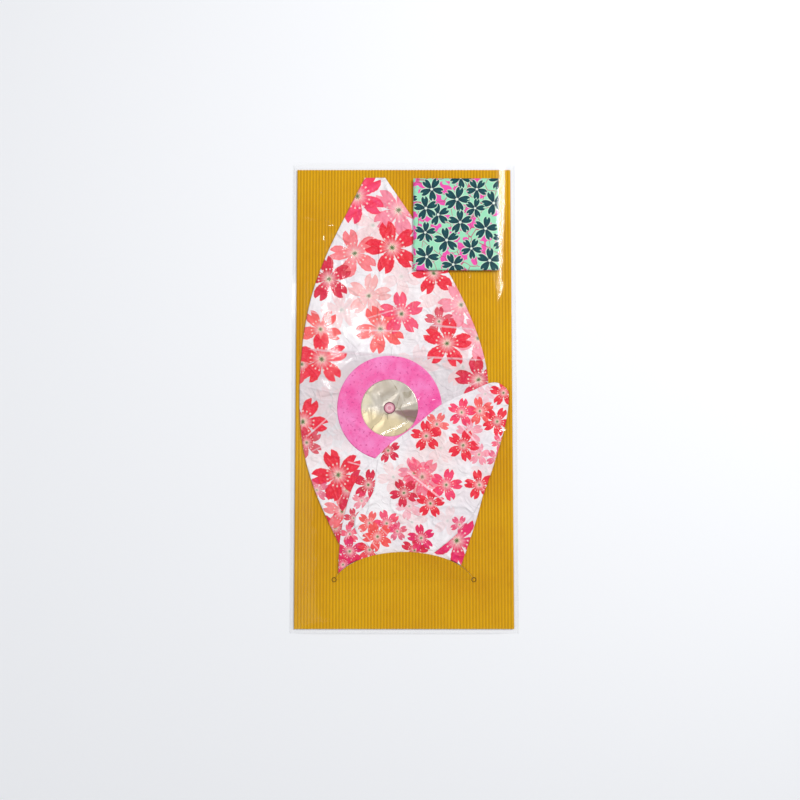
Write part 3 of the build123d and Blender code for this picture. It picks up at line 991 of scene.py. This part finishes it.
def tongue_crease():
    """The strip of liner that stays whole under the tongue's fold."""
    low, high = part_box("tongue_liner")
    left, right = low[0] + FOLD_INSET, high[0] - FOLD_INSET
    bottom, top = low[1] - FOLD_REACH, low[1] + FOLD_REACH
    points = on_card([(left, bottom), (right, bottom), (right, top), (left, top)])
    heights = np.full(4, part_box("card_liner")[0][2] - FOLD_DROP)
    make_piece(
        "tongue_crease", points, [(0, 1, 2, 3)], heights, "card", CARD, FOLD_THICK
    )


tongue_crease()

# ------------------------------------------------------------------ the sleeve's front film

# Soft wrinkles and folds of the film, as for creases(); those seen, and after them random ones
FILM_FOLDS = [
    (-47, 121, -48.5, 97, 0.62, 1.8, TENT), (-48.5, 102, -51.5, 82, 0.62, 1.8, TENT),
    (-53, 91, -49.5, 75, 0.58, 1.7, TENT), (-52, 78.5, -42, 78, 0.5, 1.6, 0),
    (-45, 76, -34, 96, 0.75, 1.7, TENT), (-40, 115, -43, 84, 0.6, 1.7, TENT),
    (-44, 96, -32, 92, 0.5, 1.5, 0), (-46, 78, -43, 52, 0.75, 2.2, TENT),
    (-54, 74, -51, 46, 0.75, 2.2, TENT), (-48, 64, -45, 40, 0.7, 2.0, TENT),
    (-52, 52, -36, 36, 0.7, 1.9, 0), (-58, 68, -40, 70, 0.5, 1.8, 0), (-50, 44, -40, 30, 0.5, 1.8, 0),
    (-84, 141, -52, 132, 0.4, 1.7, 0), (-70, 118, -54, 128, 0.3, 2.0, 0),
    (66, -30, 84, -26, 0.7, 1.8, 0), (36, 88, 52, 92, 0.3, 2.4, 0), (58, -90, 84, -112, 0.4, 2.2, 0),
    (58, -104, 80, -126, 0.35, 2.2, 0), (52, -122, 84, -147, 0.4, 2.4, 0),
    (80, 30, 79, -10, 0.3, 1.8, 0), (-66, 156, -60, 166, 0.2, 1.8, 0), (24, 1, 2, -9, 0.3, 1.8, 0),
    (30, 4, 12, -4, 0.35, 1.7, 0), (-20, -33, 8, -20, 0.3, 1.8, 0), (58, 20, 64, -2, 0.5, 1.9, 0),
    (20, -6, 40, 3, 0.4, 1.8, 0),
]
FILM_FOLDS += random_creases(21, (-80, -175), (80, 175), 46, (25, 90), (0.05, 0.2), (1.8, 4.5))
FILM_CAP = 1.1
FILM_WAVE = 0.12
CROWDING = 0.7  # how far the mesh's columns crowd towards the sides
SIDE_CURVE = (10, 0.75)  # the powers of the film's fall to the side seals, and to the base
BASE_CURVE = (40, 0.7)


def fallen(distance, curve):
    """1 over the pack, falling to 0 where the distance reaches 1; higher powers fall later."""
    late, steep = curve
    return (1 - np.minimum(np.abs(distance), 1) ** late) ** steep


def front_film():
    """One limp sheet from seal to seal, rounded over the sides and closed over the base."""
    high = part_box("sleeve_front_film")[1]
    base_low, base_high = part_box("sleeve_base")
    half = (base_high[0] - base_low[0]) / 2
    columns, rows = ((250, 420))
    even = np.linspace(-1, 1, columns)
    across = half * (CROWDING * np.sin(even * math.pi / 2) + (1 - CROWDING) * even)
    upward = np.linspace(base_low[1], high[1], rows)
    x, y = (a.ravel() for a in np.meshgrid(across, upward))
    rounded = fallen(x / half, SIDE_CURVE)
    closed = fallen(np.minimum(y, 0) / base_low[1], BASE_CURVE)
    points = on_card(np.column_stack([x, y]))
    wrinkles = np.minimum(creases(points, FILM_FOLDS), FILM_CAP) * MM
    wrinkles += FILM_WAVE * MM * (1 + np.sin(points[:, 0] / 21 + points[:, 1] / 37))
    heights = base_low[2] + (high[2] - base_low[2] + wrinkles) * rounded * closed
    faces = [
        (r * columns + c, r * columns + c + 1, (r + 1) * columns + c + 1, (r + 1) * columns + c)
        for r in range(rows - 1)
        for c in range(columns - 1)
    ]
    piece = make_piece(
        "clear_front_film", points, faces, heights, "sleeve", FILM, thick=0
    )
    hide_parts("sleeve_front_film", "sleeve_left_side", "sleeve_right_side", "sleeve_base")


front_film()

# ------------------------------------------------------------------ floor, lights and camera


FLOOR_SIZE = 6
FLOOR_DROP = 0.2 * MM  # keeps the floor clear of the back film's underside


def floor():
    bpy.ops.mesh.primitive_plane_add(size=FLOOR_SIZE, location=(0, 0, -FLOOR_DROP))
    plane = bpy.context.object
    plane.name = "floor"
    material, paint = new_material("floor")
    shader = paint.node(
        "ShaderNodeBsdfPrincipled",
        {"Base Color": rgb(250, 251, 253), "Roughness": 0.9, "Specular IOR Level": 0.1},
    )
    finish_material(paint, shader)
    plane.data.materials.append(material)


def area_light(name, place, size, power):
    light = bpy.data.lights.new(name, "AREA")
    light.shape = "RECTANGLE"
    light.size, light.size_y = size
    light.energy = power
    lamp = bpy.data.objects.new(name, light)
    bpy.context.scene.collection.objects.link(lamp)
    lamp.location = place
    lamp.rotation_euler = (-Vector(place)).to_track_quat("-Z", "Y").to_euler()


SKY = rgb(243, 245, 250)
SKY_STRENGTH = 0.38
# name, place and size in metres, power in watts
LIGHTS = (
    ("key", (0.7, 0.5, 1.05), (0.2, 0.45), 10.5),
    ("fill", (-0.95, -0.4, 1.1), (1.4, 1.4), 4.5),
    ("accent", (-0.2, 0.3, 1.5), (0.1, 0.2), 2.0),
)


def studio():
    world = bpy.data.worlds.new("studio")
    world.use_nodes = True
    sky = world.node_tree.nodes["Background"]
    sky.inputs["Color"].default_value = SKY
    sky.inputs["Strength"].default_value = SKY_STRENGTH
    bpy.context.scene.world = world
    for light in LIGHTS:
        area_light(*light)
    bpy.context.scene.view_settings.view_transform = "Standard"


VIEW_WIDTH = 0.6128  # metres seen from side to side at the floor
VIEW_DISTANCE = 0.70
VIEW_TILT = math.radians(3.9)
VIEW_AIM = (-3.0, -3.3)  # on the card, in millimetres
SENSOR = 36.0


def camera():
    """Almost straight above the card, a little towards its lower end."""
    lens = bpy.data.cameras.new("camera")
    lens.sensor_width = SENSOR
    lens.lens = SENSOR * VIEW_DISTANCE / VIEW_WIDTH
    lens.dof.use_dof = False
    eye = bpy.data.objects.new("camera", lens)
    bpy.context.scene.collection.objects.link(eye)
    aim = Vector((*(CARD_CENTRE + np.array(VIEW_AIM) * MM), 0.0))
    eye.location = aim + VIEW_DISTANCE * Vector((0, -math.sin(VIEW_TILT), math.cos(VIEW_TILT)))
    eye.rotation_euler = (VIEW_TILT, 0, 0)
    bpy.context.scene.camera = eye


floor()
studio()
camera()
